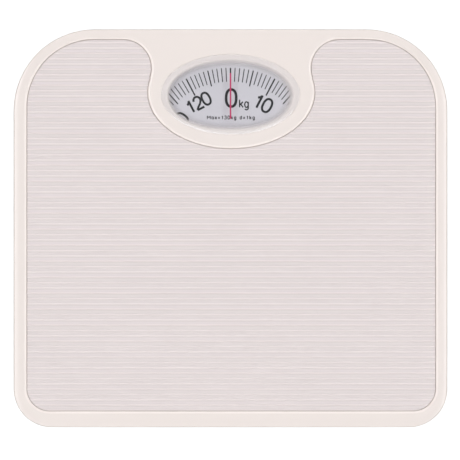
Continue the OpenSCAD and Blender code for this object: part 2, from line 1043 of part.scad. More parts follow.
// ---------- what is drawn ----------
base_tray();
foot_front_left();
foot_front_right();
foot_rear_left();
foot_rear_right();
fulcrum_stand_front_left();
fulcrum_stand_front_right();
fulcrum_stand_rear_left();
fulcrum_stand_rear_right();
fulcrum_stand_rivets();
spring_bridge();
spring_bridge_screws();
dial_bridge();
dial_bridge_screws();
dial_bearing_bush();
crank_bracket();
crank_bracket_rivets();
crank_pivot_pin();
rack_guides();
dial_disc();
dial_hub();
dial_pinion();
dial_shaft();
shaft_clip();
platform_cover();
foot_mat();
window_lens();
index_line();
platform_post_front_left();
platform_post_front_right();
platform_post_rear_left();
platform_post_rear_right();
platform_spring_hooks();
long_lever_left();
long_lever_left_pins();
long_lever_right();
long_lever_right_pins();
short_lever_left();
short_lever_left_pins();
short_lever_right();
short_lever_right_pins();
spring_plate();
lower_spring_seat();
crank();
crank_finger_pin();
rack();
rack_pin();
zero_wheel();
spring_hanger();
upper_spring_seat();
main_spring();
retaining_spring_front_left();
retaining_spring_front_right();
retaining_spring_rear_left();
retaining_spring_rear_right();
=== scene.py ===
import json
import math

import bmesh
import bpy
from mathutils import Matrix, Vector
from mathutils.geometry import delaunay_2d_cdt


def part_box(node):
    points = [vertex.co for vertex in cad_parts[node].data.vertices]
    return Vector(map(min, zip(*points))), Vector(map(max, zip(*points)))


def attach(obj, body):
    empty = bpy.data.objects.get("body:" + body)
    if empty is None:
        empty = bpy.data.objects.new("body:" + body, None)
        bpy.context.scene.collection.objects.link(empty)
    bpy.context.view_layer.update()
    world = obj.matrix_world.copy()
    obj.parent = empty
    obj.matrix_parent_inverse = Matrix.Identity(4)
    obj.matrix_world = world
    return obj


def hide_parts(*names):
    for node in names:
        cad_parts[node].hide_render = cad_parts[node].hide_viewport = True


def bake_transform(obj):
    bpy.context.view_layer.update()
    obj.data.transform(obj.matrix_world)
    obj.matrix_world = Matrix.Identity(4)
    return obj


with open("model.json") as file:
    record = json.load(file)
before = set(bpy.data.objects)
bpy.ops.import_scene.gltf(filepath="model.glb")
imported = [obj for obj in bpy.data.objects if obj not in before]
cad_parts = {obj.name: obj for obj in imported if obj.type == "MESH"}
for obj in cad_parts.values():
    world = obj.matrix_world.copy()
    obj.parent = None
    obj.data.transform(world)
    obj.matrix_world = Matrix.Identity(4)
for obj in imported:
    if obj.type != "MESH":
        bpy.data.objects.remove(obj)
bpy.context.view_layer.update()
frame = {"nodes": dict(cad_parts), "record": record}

MM = 0.001
NODES = frame["nodes"]


def box_mm(node):
    """The lowest and highest corner of a CAD node."""
    return [[v / MM for v in corner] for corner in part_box(node)]


# ---------------------------------------------------------------- sizes, in mm
# They repeat the design's, so that the pieces built here take their nodes' places.
LOW, HIGH = box_mm("platform_cover")
HALF_W = (HIGH[0] - LOW[0]) / 2
HALF_D = (HIGH[1] - LOW[1]) / 2
TOP = HIGH[2]
SKIRT_Z = LOW[2]
# the platform's corner radii, and the rims between its outline and the mat's pocket
REAR_R, FRONT_R = 53.6, 25.5
RIM_SIDE, RIM_REAR, RIM_FRONT = 8.6, 7.0, 11.0
# the pocket's corners, its rounded ends beside the window, and the oval bowl that it leaves free
MAT_FRONT_R, MAT_REAR_R = 15.0, 44.5
LOBE_X, LOBE_Y, LOBE_R = 71.0, 104.75, 18.95
BOWL_A, BOWL_B, BOWL_Y = 54.5, 36.7, 89.0
# where the bowl's curve ends and the rounded end begins, in degrees
BOWL_TO, LOBE_FROM = 14.5, 200.0
# the pocket sits a little to the right of the middle
MAT_X = 0.5
LENS_A, LENS_B, LENS_Y = 45.5, 26.3, 87.5
OVAL_POINTS = 128
# the sheet's thickness and the pocket's depth
SHEET, POCKET = 1.0, 1.6
# the dial's centre, and its upper face
DIAL_Y = 42.8
DIAL_TOP = box_mm("dial_disc")[1][2]

# The platform's edges. A crown is (width of its gentle arc, the arc's lean in degrees, radius of its tight
# corner, points on each), and a roll is (distance in, distance down, points).
EDGE_CROWN = (4.2, 25.0, 1.35, 8, 9)
POCKET_CROWN = (2.2, 30.0, 0.3, 9, 6)
SEAT_ROLL = (0.9, 0.16, 6)
UNDER_ROLL = (3.2, 2.6, 6)
# how much of the outer edge's gentle arc is used along the sides, and along the front and rear
ARC_SIDES, ARC_ENDS = 0.65, 0.2
# the skirt's lean and its upright lower edge, the pocket's lower corner, and where the inside begins to turn
DRAFT = 0.5
HEM = 0.6
POCKET_R = 0.35
UNDER_TURN = 4.0
# the finger notch: half its width, its corners, its top below the platform's, and how far the cutter reaches
# in from the rear and out past the skirt
NOTCH_HALF_W, NOTCH_R, NOTCH_TOP, NOTCH_DEEP, NOTCH_OVER = 20.0, 3.0, 5.5, 2.9, 8.0

# The lens's seat: its width, how fast it narrows along X and Y, and how much fuller its front half is.
SEAT, SEAT_X, SEAT_Y, SEAT_FULL = 3.9, 1.1, 0.8, 0.09
# its slope, as (distance in from the oval, depth below the top), and the depth of the wall below it
SEAT_SLOPE = (
    (0.0, 0.5), (0.1, 0.62), (0.4, 0.72), (1.4, 0.86),
    (2.6, 1.02), (3.2, 1.2), (3.6, 1.55), (SEAT, 2.1),
)
SEAT_WALL = 3.0

# The lens: its gap to the platform, and its rounded edge and underside as (distance in, depth below the top).
LENS_GAP = 0.12
LENS_EDGE = ((LENS_GAP, 0.50), (LENS_GAP, 0.36), (LENS_GAP + 0.12, 0.30), (LENS_GAP + 0.55, 0.18))
LENS_UNDER = ((LENS_GAP, 0.50), (LENS_GAP + 0.3, 0.58), (1.4, 0.80), (3.2, 1.0), (4.6, 1.1))
DOME_IN, DOME_TOP, DOME_DROP, DOME_RINGS = 0.75, 0.06, 0.12, 12
# its tinted rim: the rim's width on the seat, and how far below the top it reaches
RIM_IN, RIM_DEEP = 3.6, 0.45
# the milky band just inside the seat, which stands in for the lens's blurred edge and paints light over the
# shade at the dial's edge: where it begins, its width, and what is added rear, right and left
BAND_FROM, BAND_FRONT, BAND_REAR, BAND_RIGHT, BAND_LEFT = 3.3, 5.2, 2.2, 1.4, -2.0
BAND_DEEP, BAND_FALL, BAND_STEPS = 1.2, 0.05, 12
# the moulding marks: how far inside the oval, half their length and width, how far their foot and top are
# below the platform's top, and the top's share of the foot's size
NIB_IN, NIB_X, NIB_Y, NIB_FOOT, NIB_TOP, NIB_TAPER = 0.1, 1.1, 0.45, 0.30, 0.12, 0.8

MAT_GAP = 0.6
MAT_SLAB = 0.7
RIB_PITCH = 3.485
RIB_SHIFT = -0.365
# the main and the lesser rib of a pitch: (place as a share of the pitch, width, height, points)
RIBS = ((0.0, 1.5, 0.34, 10), (0.41, 1.2, 0.13, 6))
# where a row of the mat has its points, as shares of its length: the short first and last spans end the ribs
ROW = (0.0, 0.003, 0.008, 0.15, 0.3, 0.5, 0.7, 0.85, 0.992, 0.997, 1.0)
# plain margins at the mat's front and rear: the end rows, the rows beside them, and where the ribs begin
MARGIN, FLAT_ROW, RIBS_FROM = 0.02, 0.5, 0.9
# painted light across one rib's pitch, from its crest towards the rear: brightness factors on the mat's
# colour, a painted highlight on the crest and painted shade in the valleys
RIB_PAINTED_LIGHT = (
    (0.0, 1.075), (0.06, 1.065), (0.13, 1.035), (0.2, 0.96), (0.43, 1.005), (0.55, 0.98),
    (0.64, 0.96), (0.78, 0.95), (0.84, 1.07), (0.89, 1.2), (1.0, 1.075),
)

# The dial's print: its height over the disc, what each stroke adds, and the marks' outer end, with each kind
# of mark as (inner end, width). All radii are from the dial's centre.
CAPACITY = 130
INK_UP, INK_STEP = 0.03, 0.001
MARK_END, MARK_TEN, MARK_FIVE, MARK_ONE = 62.8, (50.3, 0.95), (52.1, 0.8), (53.7, 0.6)
# the figures, as (radius, nudge along the row, (height, width, step, pen)), and the rows that differ
TWO_FIGURES = (44.8, 0.5, (10.5, 7.0, 6.4, 1.5))
THREE_FIGURES = (45.1, -0.35, (9.7, 6.4, 5.85, 1.42))
FIGURE_ROWS = {0: (42.9, 0.45, (13.0, 8.4, 1.0, 1.75)), 110: (43.1, 0.5, (9.7, 6.4, 5.85, 1.42))}

# The springs: radius of the coil and the wire, and turns. The main one has play under its upper seat, and its
# wire is a little thinner than the room for it. The retaining ones have coil ends and loop centres.
MAIN_COIL, MAIN_WIRE, MAIN_TURNS = 7.0, 1.05, 6.4
MAIN_PLAY, WIRE_SPARE = 0.42, 0.02
HOLD_COIL, HOLD_WIRE, HOLD_TURNS = 2.4, 0.4, 16
HOLD_LOW, HOLD_HIGH = 16.5, 39.9
LOOP_LOW, LOOP_HIGH = 13.3, 43.1


# ---------------------------------------------------------------- node materials
class Graph:
    """A short way to write a material's nodes."""

    def __init__(self, name):
        self.mat = bpy.data.materials.new(name)
        self.mat.use_nodes = True
        self.tree = self.mat.node_tree
        self.tree.nodes.clear()
        self.out = self.tree.nodes.new("ShaderNodeOutputMaterial")
        self.coord = self.add("ShaderNodeTexCoord")

    def add(self, kind, **values):
        node = self.tree.nodes.new(kind)
        for key, value in values.items():
            setattr(node, key, value)
        return node

    def link(self, a, b):
        self.tree.links.new(a, b)

    def feed(self, value, socket):
        """Sets a socket to a number or a colour, or links it to another node's output."""
        if isinstance(value, (int, float)):
            socket.default_value = value
        elif isinstance(value, tuple):
            socket.default_value = (*value[:3], 1.0)
        else:
            self.link(value, socket)

    def noise(self, scale, detail=3.0, rough=0.55, stretch=(1, 1, 1)):
        """Noise in object space, 0 to 1."""
        mapping = self.add("ShaderNodeMapping")
        mapping.inputs["Scale"].default_value = stretch
        self.link(self.coord.outputs["Object"], mapping.inputs["Vector"])
        node = self.add("ShaderNodeTexNoise")
        node.inputs["Scale"].default_value = scale
        node.inputs["Detail"].default_value = detail
        node.inputs["Roughness"].default_value = rough
        self.link(mapping.outputs["Vector"], node.inputs["Vector"])
        return node.outputs["Fac"]

    def ramp(self, fac, low, high, a, b):
        """Takes fac from low..high to a..b."""
        node = self.add("ShaderNodeMapRange")
        node.inputs["From Min"].default_value = low
        node.inputs["From Max"].default_value = high
        node.inputs["To Min"].default_value = a
        node.inputs["To Max"].default_value = b
        self.link(fac, node.inputs["Value"])
        return node.outputs["Result"]

    def math(self, op, a, b):
        node = self.add("ShaderNodeMath", operation=op)
        self.feed(a, node.inputs[0])
        self.feed(b, node.inputs[1])
        return node.outputs[0]

    def mix(self, fac, a, b):
        """Mixes two colours. Sockets 6 and 7 and output 2 are the node's colour ones."""
        node = self.add("ShaderNodeMix", data_type="RGBA")
        self.link(fac, node.inputs["Factor"])
        self.feed(a, node.inputs[6])
        self.feed(b, node.inputs[7])
        return node.outputs[2]

    def blend(self, fac, a, b):
        """Mixes two shaders."""
        node = self.add("ShaderNodeMixShader")
        self.link(fac, node.inputs[0])
        self.link(a, node.inputs[1])
        self.link(b, node.inputs[2])
        return node.outputs[0]

    def bump(self, height, strength, distance):
        node = self.add("ShaderNodeBump")
        node.inputs["Strength"].default_value = strength
        node.inputs["Distance"].default_value = distance
        self.link(height, node.inputs["Height"])
        return node.outputs["Normal"]

    def front_side(self):
        """1 where the surface is seen from outside, 0 from behind."""
        return self.math("SUBTRACT", 1.0, self.add("ShaderNodeNewGeometry").outputs["Backfacing"])

    def surface(self, color, rough, metallic=0.0, normal=None, **inputs):
        node = self.add("ShaderNodeBsdfPrincipled")
        self.feed(color, node.inputs["Base Color"])
        self.feed(rough, node.inputs["Roughness"])
        node.inputs["Metallic"].default_value = metallic
        for key, value in inputs.items():
            node.inputs[key].default_value = value
        if normal is not None:
            self.link(normal, node.inputs["Normal"])
        return node.outputs["BSDF"]

    def finish(self, shader):
        self.link(shader, self.out.inputs["Surface"])
        return self.mat


def tinted(color, k):
    """The colour k times as bright."""
    return tuple(min(1.0, c * k) for c in color)


def enamel(name, color):
    """Stove enamel: faint colour drift and orange peel."""
    g = Graph(name)
    drift = g.ramp(g.noise(14.0, 2.0), 0.3, 0.7, 0.0, 1.0)
    base = g.mix(drift, tinted(color, 0.995), tinted(color, 1.005))
    rough = g.ramp(g.noise(60.0, 3.0), 0.3, 0.7, 0.2, 0.21)
    normal = g.bump(g.noise(420.0, 1.0), 0.03, 0.0003)
    return g.finish(g.surface(base, rough, normal=normal, IOR=1.52))


# a colour ramp's stops are kept below 1, so the ribs' painted light is stored divided by this
RIB_LIGHT_MAX = 2.0


def vinyl(name, color):
    """Matt ribbed vinyl with a fine grain, and painted light across the ribs: a painted highlight on the
    crests and painted shade in the valleys.
    """
    g = Graph(name)
    split = g.add("ShaderNodeSeparateXYZ")
    g.link(g.coord.outputs["Object"], split.inputs[0])
    from_rib = g.math("SUBTRACT", split.outputs["Y"], RIB_SHIFT * MM)
    phase = g.math("FRACT", g.math("MULTIPLY", from_rib, 1 / (RIB_PITCH * MM)), 0.0)
    # painted light: the ribs' crests lighter as a painted highlight, their valleys darker as painted shade
    rib_light = g.add("ShaderNodeValToRGB")
    stops = rib_light.color_ramp.elements
    stops[0].position, stops[1].position = RIB_PAINTED_LIGHT[0][0], RIB_PAINTED_LIGHT[-1][0]
    for place, _ in RIB_PAINTED_LIGHT[1:-1]:
        stops.new(place)
    for stop, (_, rib_light_level) in zip(stops, RIB_PAINTED_LIGHT):
        stop.color = (rib_light_level / RIB_LIGHT_MAX, rib_light_level / RIB_LIGHT_MAX, rib_light_level / RIB_LIGHT_MAX, 1.0)
    rib_light.color_ramp.interpolation = "EASE"
    g.link(phase, rib_light.inputs["Fac"])
    drift = g.ramp(g.noise(22.0, 3.0), 0.3, 0.7, 0.0, 1.0)
    flat = g.mix(drift, tinted(color, 0.994), tinted(color, 1.006))
    rib_light_level = g.add("ShaderNodeVectorMath", operation="SCALE")
    g.link(rib_light.outputs["Color"], rib_light_level.inputs[0])
    rib_light_level.inputs["Scale"].default_value = RIB_LIGHT_MAX
    both = g.add("ShaderNodeVectorMath", operation="MULTIPLY")
    g.link(flat, both.inputs[0])
    g.link(rib_light_level.outputs[0], both.inputs[1])
    grain = g.noise(3600.0, 4.0, 0.6)
    smear = g.noise(180.0, 3.0, 0.6, (0.15, 1.0, 1.0))
    rough = g.ramp(smear, 0.3, 0.7, 0.60, 0.65)
    normal = g.bump(grain, 0.04, 0.00003)
    return g.finish(g.surface(both.outputs[0], rough, normal=normal, IOR=1.46))


def metal(name, color, rough, stretch=(1, 1, 1), scale=700.0):
    """Plated or bare metal with patches and rolling lines. Stretch gives the lines their direction."""
    g = Graph(name)
    patch = g.ramp(g.noise(240.0, 3.0), 0.2, 0.8, 0.0, 1.0)
    base = g.mix(patch, tinted(color, 0.97), tinted(color, 1.03))
    lines = g.noise(scale, 3.0, 0.6, stretch)
    r = g.ramp(lines, 0.3, 0.7, rough - 0.03, rough + 0.05)
    normal = g.bump(lines, 0.06, 0.00003)
    return g.finish(g.surface(base, r, metallic=1.0, normal=normal))


def rubber(name, color, rough=0.75):
    """Black rubber with a pale bloom and a fine grain."""
    g = Graph(name)
    bloom = g.ramp(g.noise(160.0, 4.0, 0.65), 0.35, 0.7, 0.0, 1.0)
    base = g.mix(bloom, color, tinted(color, 1.7))
    grain = g.noise(2600.0, 3.0)
    r = g.ramp(grain, 0.3, 0.7, rough - 0.06, rough + 0.08)
    return g.finish(g.surface(base, r, normal=g.bump(grain, 0.25, 0.00012)))


def moulded(name, color, rough=0.38):
    """Moulded plastic with a light spark-eroded texture."""
    g = Graph(name)
    cloud = g.ramp(g.noise(90.0, 3.0), 0.3, 0.7, 0.0, 1.0)
    base = g.mix(cloud, tinted(color, 0.94), tinted(color, 1.06))
    grain = g.noise(3000.0, 2.0)
    r = g.ramp(grain, 0.3, 0.7, rough - 0.04, rough + 0.05)
    return g.finish(g.surface(base, r, normal=g.bump(grain, 0.14, 0.00005), IOR=1.5))


def paper(name, color):
    """The dial's face: a matt lacquered sheet, with painted shade that makes it a little darker towards its
    rim.
    """
    g = Graph(name)
    fibre = g.ramp(g.noise(1500.0, 4.0, 0.65), 0.3, 0.7, 0.0, 1.0)
    base = g.mix(fibre, tinted(color, 0.975), tinted(color, 1.02))
    split = g.add("ShaderNodeSeparateXYZ")
    g.link(g.coord.outputs["Object"], split.inputs[0])
    y = g.math("SUBTRACT", split.outputs["Y"], DIAL_Y * MM)
    r2 = g.math("ADD", g.math("POWER", split.outputs["X"], 2.0), g.math("POWER", y, 2.0))
    # painted shade: a little darker towards the rim, which shows at the window's upper edge, under the
    # platform
    edge = g.ramp(g.math("SQRT", r2, 0.0), 0.056, 0.066, 0.0, 1.0)
    base = g.mix(edge, base, tinted(color, 0.95))
    rough = g.ramp(fibre, 0.0, 1.0, 0.52, 0.62)
    normal = g.bump(g.noise(2200.0, 3.0), 0.08, 0.00004)
    return g.finish(g.surface(base, rough, normal=normal))


def ink(name, color, rough=0.45):
    """Printed ink that covers a little unevenly."""
    g = Graph(name)
    cover = g.ramp(g.noise(2600.0, 3.0), 0.3, 0.7, 0.0, 1.0)
    base = g.mix(cover, color, tinted(tuple(c + 0.01 for c in color), 1.25))
    return g.finish(g.surface(base, g.ramp(cover, 0.0, 1.0, rough, rough + 0.1)))


def clear(name, tint, gloss=0.05):
    """Clear plastic: see-through, with a surface reflection and faint haze."""
    g = Graph(name)
    through = g.add("ShaderNodeBsdfTransparent")
    through.inputs["Color"].default_value = (*tint, 1.0)
    shine = g.add("ShaderNodeBsdfGlossy")
    haze = g.ramp(g.noise(120.0, 3.0), 0.3, 0.7, gloss, gloss + 0.05)
    g.link(haze, shine.inputs["Roughness"])
    fresnel = g.add("ShaderNodeFresnel")
    fresnel.inputs["IOR"].default_value = 1.49
    wave = g.bump(g.noise(35.0, 2.0), 0.05, 0.0006)
    g.link(wave, fresnel.inputs["Normal"])
    g.link(wave, shine.inputs["Normal"])
    mirrored = g.math("MULTIPLY", fresnel.outputs[0], g.front_side())
    return g.finish(g.blend(mirrored, through.outputs[0], shine.outputs[0]))


def frosted(name, color):
    """The lens's blurred edge and painted light: milky outside and clear inside, as the mesh's own attribute
    says. The lit milky surface paints light over the dial's shaded edge.
    """
    g = Graph(name)
    fade = g.add("ShaderNodeAttribute", attribute_name="fade")
    milk = g.surface(color, g.ramp(g.noise(400.0, 2.0), 0.3, 0.7, 0.25, 0.32), IOR=1.49)
    through = g.add("ShaderNodeBsdfTransparent")
    return g.finish(g.blend(g.ramp(fade.outputs["Fac"], 0.0, 1.0, 0.0, 1.0), through.outputs[0], milk))


WHITE = (0.888, 0.813, 0.778)
FINISH = {
    "white_enamel": enamel("white_enamel", WHITE),
    # painted highlight: lighter enamel for the pocket's crowned edge
    "painted_highlight_enamel": enamel("painted_highlight_enamel", tinted(WHITE, 1.07)),
    # painted shade: darker enamel for the pocket's floor, which darkens the groove round the mat
    "painted_groove_shade": enamel("painted_groove_shade", (0.66, 0.60, 0.57)),
    "mat_rubber": vinyl("mat_vinyl", (0.768, 0.698, 0.696)),
    "lens_plastic": clear("lens_plastic", (0.985, 0.99, 1.0)),
    "lens_rim": clear("lens_rim", (0.965, 0.97, 0.98)),
    "index_red": ink("index_red", (0.50, 0.035, 0.12), 0.35),
    "dial_face": paper("dial_face", (0.655, 0.635, 0.67)),
    "foot_rubber": rubber("foot_rubber", (0.028, 0.028, 0.03)),
    "brass": metal("brass", (0.72, 0.52, 0.22), 0.28, (1.0, 0.2, 1.0)),
    "spring_steel": metal("spring_steel", (0.42, 0.43, 0.45), 0.24, scale=1500.0),
    "wheel_plastic": moulded("wheel_plastic", (0.045, 0.045, 0.05)),
    "cast_alloy": metal("cast_alloy", (0.56, 0.57, 0.59), 0.42, scale=500.0),
    "zinc_steel": metal("zinc_steel", (0.62, 0.63, 0.66), 0.30, (0.25, 1.0, 1.0)),
    "print": ink("dial_print", (0.006, 0.006, 0.008)),
    "frosted": frosted("lens_edge", tinted(WHITE, 1.02)),
}

SLOT = {part["node"]: part["material_slot"] for part in frame["record"]["subparts"]}
for node_name, obj in NODES.items():
    obj.data.materials.clear()
    obj.data.materials.append(FINISH[SLOT[node_name]])


# ---------------------------------------------------------------- outlines, in mm
def arc(cx, cy, r, a0, a1, n):
    """n + 1 points of an arc from a0 to a1 degrees."""
    out = []
    for i in range(n + 1):
        a = math.radians(a0 + (a1 - a0) * i / n)
        out.append((cx + r * math.cos(a), cy + r * math.sin(a)))
    return out


def oval(cy, a, b, t0, t1, n):
    """n + 1 points of an ellipse centred at (0, cy), from t0 to t1 degrees."""
    out = []
    for i in range(n + 1):
        t = math.radians(t0 + (t1 - t0) * i / n)
        out.append((a * math.cos(t), cy + b * math.sin(t)))
    return out


# In the outlines g is a distance in mm, and the points of each arc are as many as its curve needs.
def body_outline(g):
    """The platform's outline, moved inwards by g, anticlockwise from the right-hand side."""
    xr, yr = HALF_W - REAR_R, HALF_D - REAR_R
    xf, yf = HALF_W - FRONT_R, -HALF_D + FRONT_R
    r, f = REAR_R - g, FRONT_R - g
    return (
        arc(xr, yr, r, 0, 90, 24)
        + arc(-xr, yr, r, 90, 180, 24)
        + arc(-xf, yf, f, 180, 270, 18)
        + arc(xf, yf, f, 270, 360, 18)
    )


def mat_half(g, fine=1):
    """The right half of the mat's outline, moved outwards by g, from the bowl round to the front edge."""
    x = HALF_W - RIM_SIDE + g
    y0 = -HALF_D + RIM_FRONT - g
    y1 = HALF_D - RIM_REAR + g
    rf, rr = MAT_FRONT_R + g, MAT_REAR_R + g
    return (
        oval(BOWL_Y, BOWL_A - g, BOWL_B - g, -90, BOWL_TO, 40 * fine)
        + arc(LOBE_X, LOBE_Y, LOBE_R + g, LOBE_FROM, 90, 26 * fine)
        + arc(x - rr, y1 - rr, rr, 90, 0, 26 * fine)
        + arc(x - rf, y0 + rf, rf, 0, -90, 14 * fine)
    )


def mat_outline(g):
    """The mat's whole outline, moved outwards by g."""
    half = mat_half(g)
    return [(MAT_X + x, y) for x, y in half] + [(MAT_X - x, y) for x, y in reversed(half)]


def closed_oval(a, b):
    """A whole ellipse round the lens's centre."""
    return oval(LENS_Y, a, b, 0, 360 - 360 / OVAL_POINTS, OVAL_POINTS - 1)


def lens_outline(g):
    """The lens's oval, moved inwards by g."""
    return closed_oval(LENS_A - g, LENS_B - g)


def seat_point(g, t):
    """The seat's point at angle t: on the oval moved in by g, more at the sides, and fuller in front."""
    c, si = math.cos(t), math.sin(t)
    full = 1.0 - (SEAT_FULL * min(1.0, g / SEAT) if si < 0 else 0.0)
    x = (LENS_A - SEAT_X * g) * math.copysign(abs(c) ** full, c)
    y = (LENS_B - SEAT_Y * g) * math.copysign(abs(si) ** full, si)
    return x, LENS_Y + y


def seat_outline(g):
    """The seat's outline, g in from the lens's oval."""
    return [seat_point(g, 2 * math.pi * i / OVAL_POINTS) for i in range(OVAL_POINTS)]


def at(points, z):
    """Flat points at height z."""
    return [(x, y, z) for x, y in points]


# ---------------------------------------------------------------- mesh building
class Shape:
    """Collects vertices in mm and faces, then makes an object in metres."""

    def __init__(self):
        self.verts, self.faces = [], []

    def ring(self, points):
        """Adds a row of vertices and returns their numbers."""
        first = len(self.verts)
        self.verts += [tuple(p) for p in points]
        return list(range(first, len(self.verts)))

    def band(self, a, b, closed=True):
        """Joins two rows of the same length with faces."""
        n = len(a)
        for i in range(n if closed else n - 1):
            j = (i + 1) % n
            self.faces.append((a[i], a[j], b[j], b[i]))

    def loft(self, rings):
        """Joins a list of closed rings, each to the next."""
        ids = [self.ring(r) for r in rings]
        for a, b in zip(ids, ids[1:]):
            self.band(a, b)
        return ids

    def plane(self, outer, holes=(), z=0.0, up=True):
        """Fills a flat region between an outline and its holes."""
        pts, edges = [], []
        for loop in (outer, *holes):
            n0 = len(pts)
            pts += [Vector(p[:2]) for p in loop]
            edges += [(n0 + i, n0 + (i + 1) % len(loop)) for i in range(len(loop))]
        out = delaunay_2d_cdt(pts, edges, [], 0, 1e-6)
        found, tris = out[0], out[2]
        first = len(self.verts)
        self.verts += [(p.x, p.y, z) for p in found]
        for t in tris:
            mid = sum((found[i] for i in t), Vector((0, 0))) / len(t)
            if inside(mid, outer) and not any(inside(mid, h) for h in holes):
                a, b, c = (found[i] for i in t)
                turn = (b.x - a.x) * (c.y - a.y) - (b.y - a.y) * (c.x - a.x)
                ids = [first + i for i in t]
                self.faces.append(tuple(ids if (turn > 0) == up else reversed(ids)))

    def object(self, name, material, weld=0.002, smooth=35.0):
        """The object. Weld is in mm, and edges sharper than smooth degrees stay sharp."""
        mesh = bpy.data.meshes.new(name)
        mesh.from_pydata([(x * MM, y * MM, z * MM) for x, y, z in self.verts], [], self.faces)
        bm = bmesh.new()
        bm.from_mesh(mesh)
        if weld:
            bmesh.ops.remove_doubles(bm, verts=bm.verts, dist=weld * MM)
            bmesh.ops.dissolve_degenerate(bm, edges=bm.edges, dist=1e-7)
        bmesh.ops.recalc_face_normals(bm, faces=bm.faces)
        bm.to_mesh(mesh)
        bm.free()
        mesh.materials.append(material)
        mesh.shade_smooth()
        if smooth:
            mesh.set_sharp_from_angle(angle=math.radians(smooth))
        obj = bpy.data.objects.new(name, mesh)
        bpy.context.scene.collection.objects.link(obj)
        return obj


def inside(p, loop):
    """Whether a point lies in a polygon."""
    x, y, odd = p[0], p[1], False
    for (x0, y0), (x1, y1) in zip(loop, list(loop[1:]) + [loop[0]]):
        if (y0 > y) != (y1 > y) and x < (x1 - x0) * (y - y0) / (y1 - y0) + x0:
            odd = not odd
    return odd


def roll(r_in, r_down, n):
    """Points of a rounded edge: (distance in from the edge, depth below the top)."""
    out = []
    for i in range(n + 1):
        a = math.radians(90 * i / n)
        out.append((r_in * (1 - math.sin(a)), r_down * (1 - math.cos(a))))
    return out


def crown(wide, lean, corner, n_wide, n_corner):
    """Points of a crowned edge: a wide gentle arc leaning up to lean degrees, then a tight corner.

    They run from the flat top to the wall, as (distance in from the edge, the arc's depth, the corner's).
    """
    lean_a = math.radians(lean)
    big = wide / math.sin(lean_a)
    reach = corner * (1 - math.sin(lean_a))
    out = []
    for i in range(n_wide + 1):
        a = lean_a * i / n_wide
        out.append((reach + wide - big * math.sin(a), big * (1 - math.cos(a)), 0.0))
    fall = out[n_wide][1]
    for i in range(1, n_corner + 1):
        a = math.radians(lean + (90 - lean) * i / n_corner)
        out.append((corner * (1 - math.sin(a)), fall, corner * (math.cos(lean_a) - math.cos(a))))
    return out


def edge_ring(g, arc_d, corner_d):
    """A ring of the platform's outer edge. The gentle arc is deeper along the sides than front and rear."""
    ring = []
    points = body_outline(g)
    for i, (x, y) in enumerate(points):
        ahead, behind = points[(i + 1) % len(points)], points[i - 1]
        along = Vector((ahead[0] - behind[0], ahead[1] - behind[1])).normalized()
        share = ARC_ENDS + (ARC_SIDES - ARC_ENDS) * along.y ** 2
        ring.append((x, y, TOP - arc_d * share - corner_d))
    return ring


# ---------------------------------------------------------------- platform
def make_platform():
    """The pressed shell: skirt, crowned rim, pocket for the mat, seat of the lens, and the underside."""
    s = Shape()
    edge, pocket_edge = crown(*EDGE_CROWN), crown(*POCKET_CROWN)
    seat_edge, under_edge = roll(*SEAT_ROLL), roll(*UNDER_ROLL)
    floor_z, under_z = TOP - POCKET, TOP - SHEET
    # outside: the skirt, the pressed edge and the flat rim
    skirt = [at(body_outline(0), SKIRT_Z), at(body_outline(0), SKIRT_Z + HEM)]
    s.loft(skirt + [edge_ring(DRAFT + g, arc_d, corner_d) for g, arc_d, corner_d in reversed(edge)])
    holes = [mat_outline(pocket_edge[0][0]), lens_outline(-seat_edge[0][0])]
    s.plane(body_outline(DRAFT + edge[0][0]), holes, TOP)
    # crowned edge of the mat's pocket, its wall and its floor
    s.loft(
        [at(mat_outline(g), TOP - arc_d - corner_d) for g, arc_d, corner_d in pocket_edge]
        + [at(mat_outline(0), floor_z + POCKET_R), at(mat_outline(-POCKET_R), floor_z)]
    )
    s.plane(mat_outline(-POCKET_R), [], floor_z)
    # dished seat of the lens: a soft step, then a slope down to the window's wall
    s.loft(
        [at(lens_outline(-g), TOP - d) for g, d in seat_edge]
        + [at(seat_outline(g), TOP - d) for g, d in SEAT_SLOPE]
        + [at(seat_outline(SEAT), TOP - SEAT_WALL)]
    )
    # underside: the skirt's inner wall, the rim, the pocket, the seat, and the skirt's lower edge
    s.loft(
        [at(body_outline(SHEET), SKIRT_Z), at(body_outline(SHEET), TOP - UNDER_TURN)]
        + [at(body_outline(SHEET + g), under_z - d) for g, d in reversed(under_edge)]
    )
    holes = [mat_outline(SHEET), lens_outline(-SHEET)]
    s.plane(body_outline(SHEET + UNDER_ROLL[0]), holes, under_z, up=False)
    s.loft([at(mat_outline(SHEET), under_z), at(mat_outline(SHEET), floor_z - SHEET)])
    s.plane(mat_outline(SHEET), [], floor_z - SHEET, up=False)
    wall = lens_outline(-SHEET)
    s.loft([at(wall, under_z), at(wall, TOP - SEAT_WALL), at(seat_outline(SEAT), TOP - SEAT_WALL)])
    s.loft([at(body_outline(0), SKIRT_Z), at(body_outline(SHEET), SKIRT_Z)])
    obj = s.object("platform_shell", FINISH["white_enamel"])
    coat_platform(obj, floor_z)
    return obj


